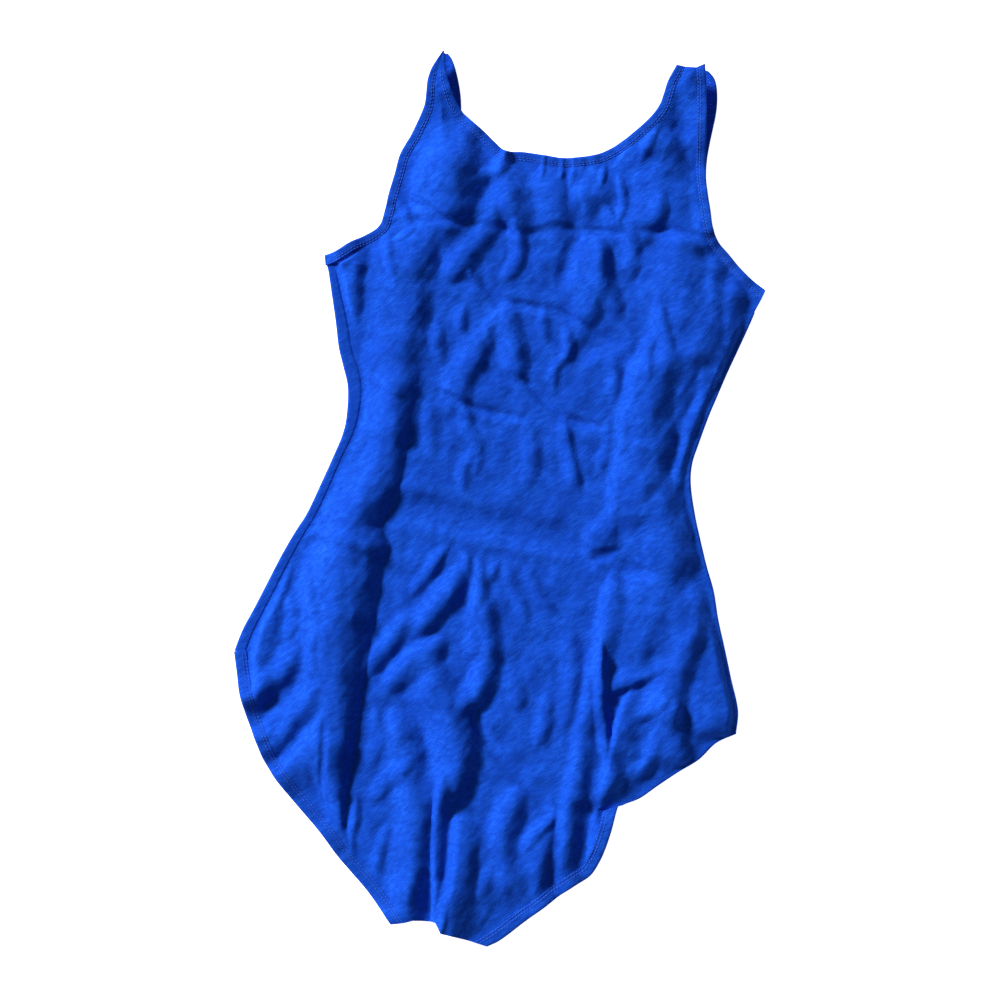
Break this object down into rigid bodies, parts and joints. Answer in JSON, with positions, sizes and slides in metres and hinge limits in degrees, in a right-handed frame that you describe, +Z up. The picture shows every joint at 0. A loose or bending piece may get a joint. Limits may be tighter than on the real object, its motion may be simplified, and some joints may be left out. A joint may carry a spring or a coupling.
{
  "type": "tank leotard",
  "caption": "Sleeveless stretch-knit tank leotard laid flat, front up, with a scoop neck, hemmed armholes and high-cut leg openings.",
  "frame": {"origin": "on the surface that the leotard lies on, under the middle of its laid outline", "axes": "+Y from the crotch to the shoulders, +X to the right as it is seen from above, +Z up out of the surface, towards its front"},
  "size_m": [0.3821, 0.6776, 0.0189],
  "materials": {
    "front_knit": "matt royal-blue stretch knit",
    "back_knit": "matt royal-blue stretch knit",
    "elastic_hem": "matt royal-blue stretch knit, turned over and stitched"
  },
  "bodies": {
    "root": {"front_panel": "front_knit", "back_panel": "back_knit", "front_neck_hem": "elastic_hem", "back_neck_hem": "elastic_hem", "front_armhole_hem_left": "elastic_hem", "front_armhole_hem_right": "elastic_hem", "back_armhole_hem_left": "elastic_hem", "back_armhole_hem_right": "elastic_hem", "front_leg_hem_left": "elastic_hem", "front_leg_hem_right": "elastic_hem", "back_leg_hem_left": "elastic_hem", "back_leg_hem_right": "elastic_hem"}
  },
  "joints": []
}
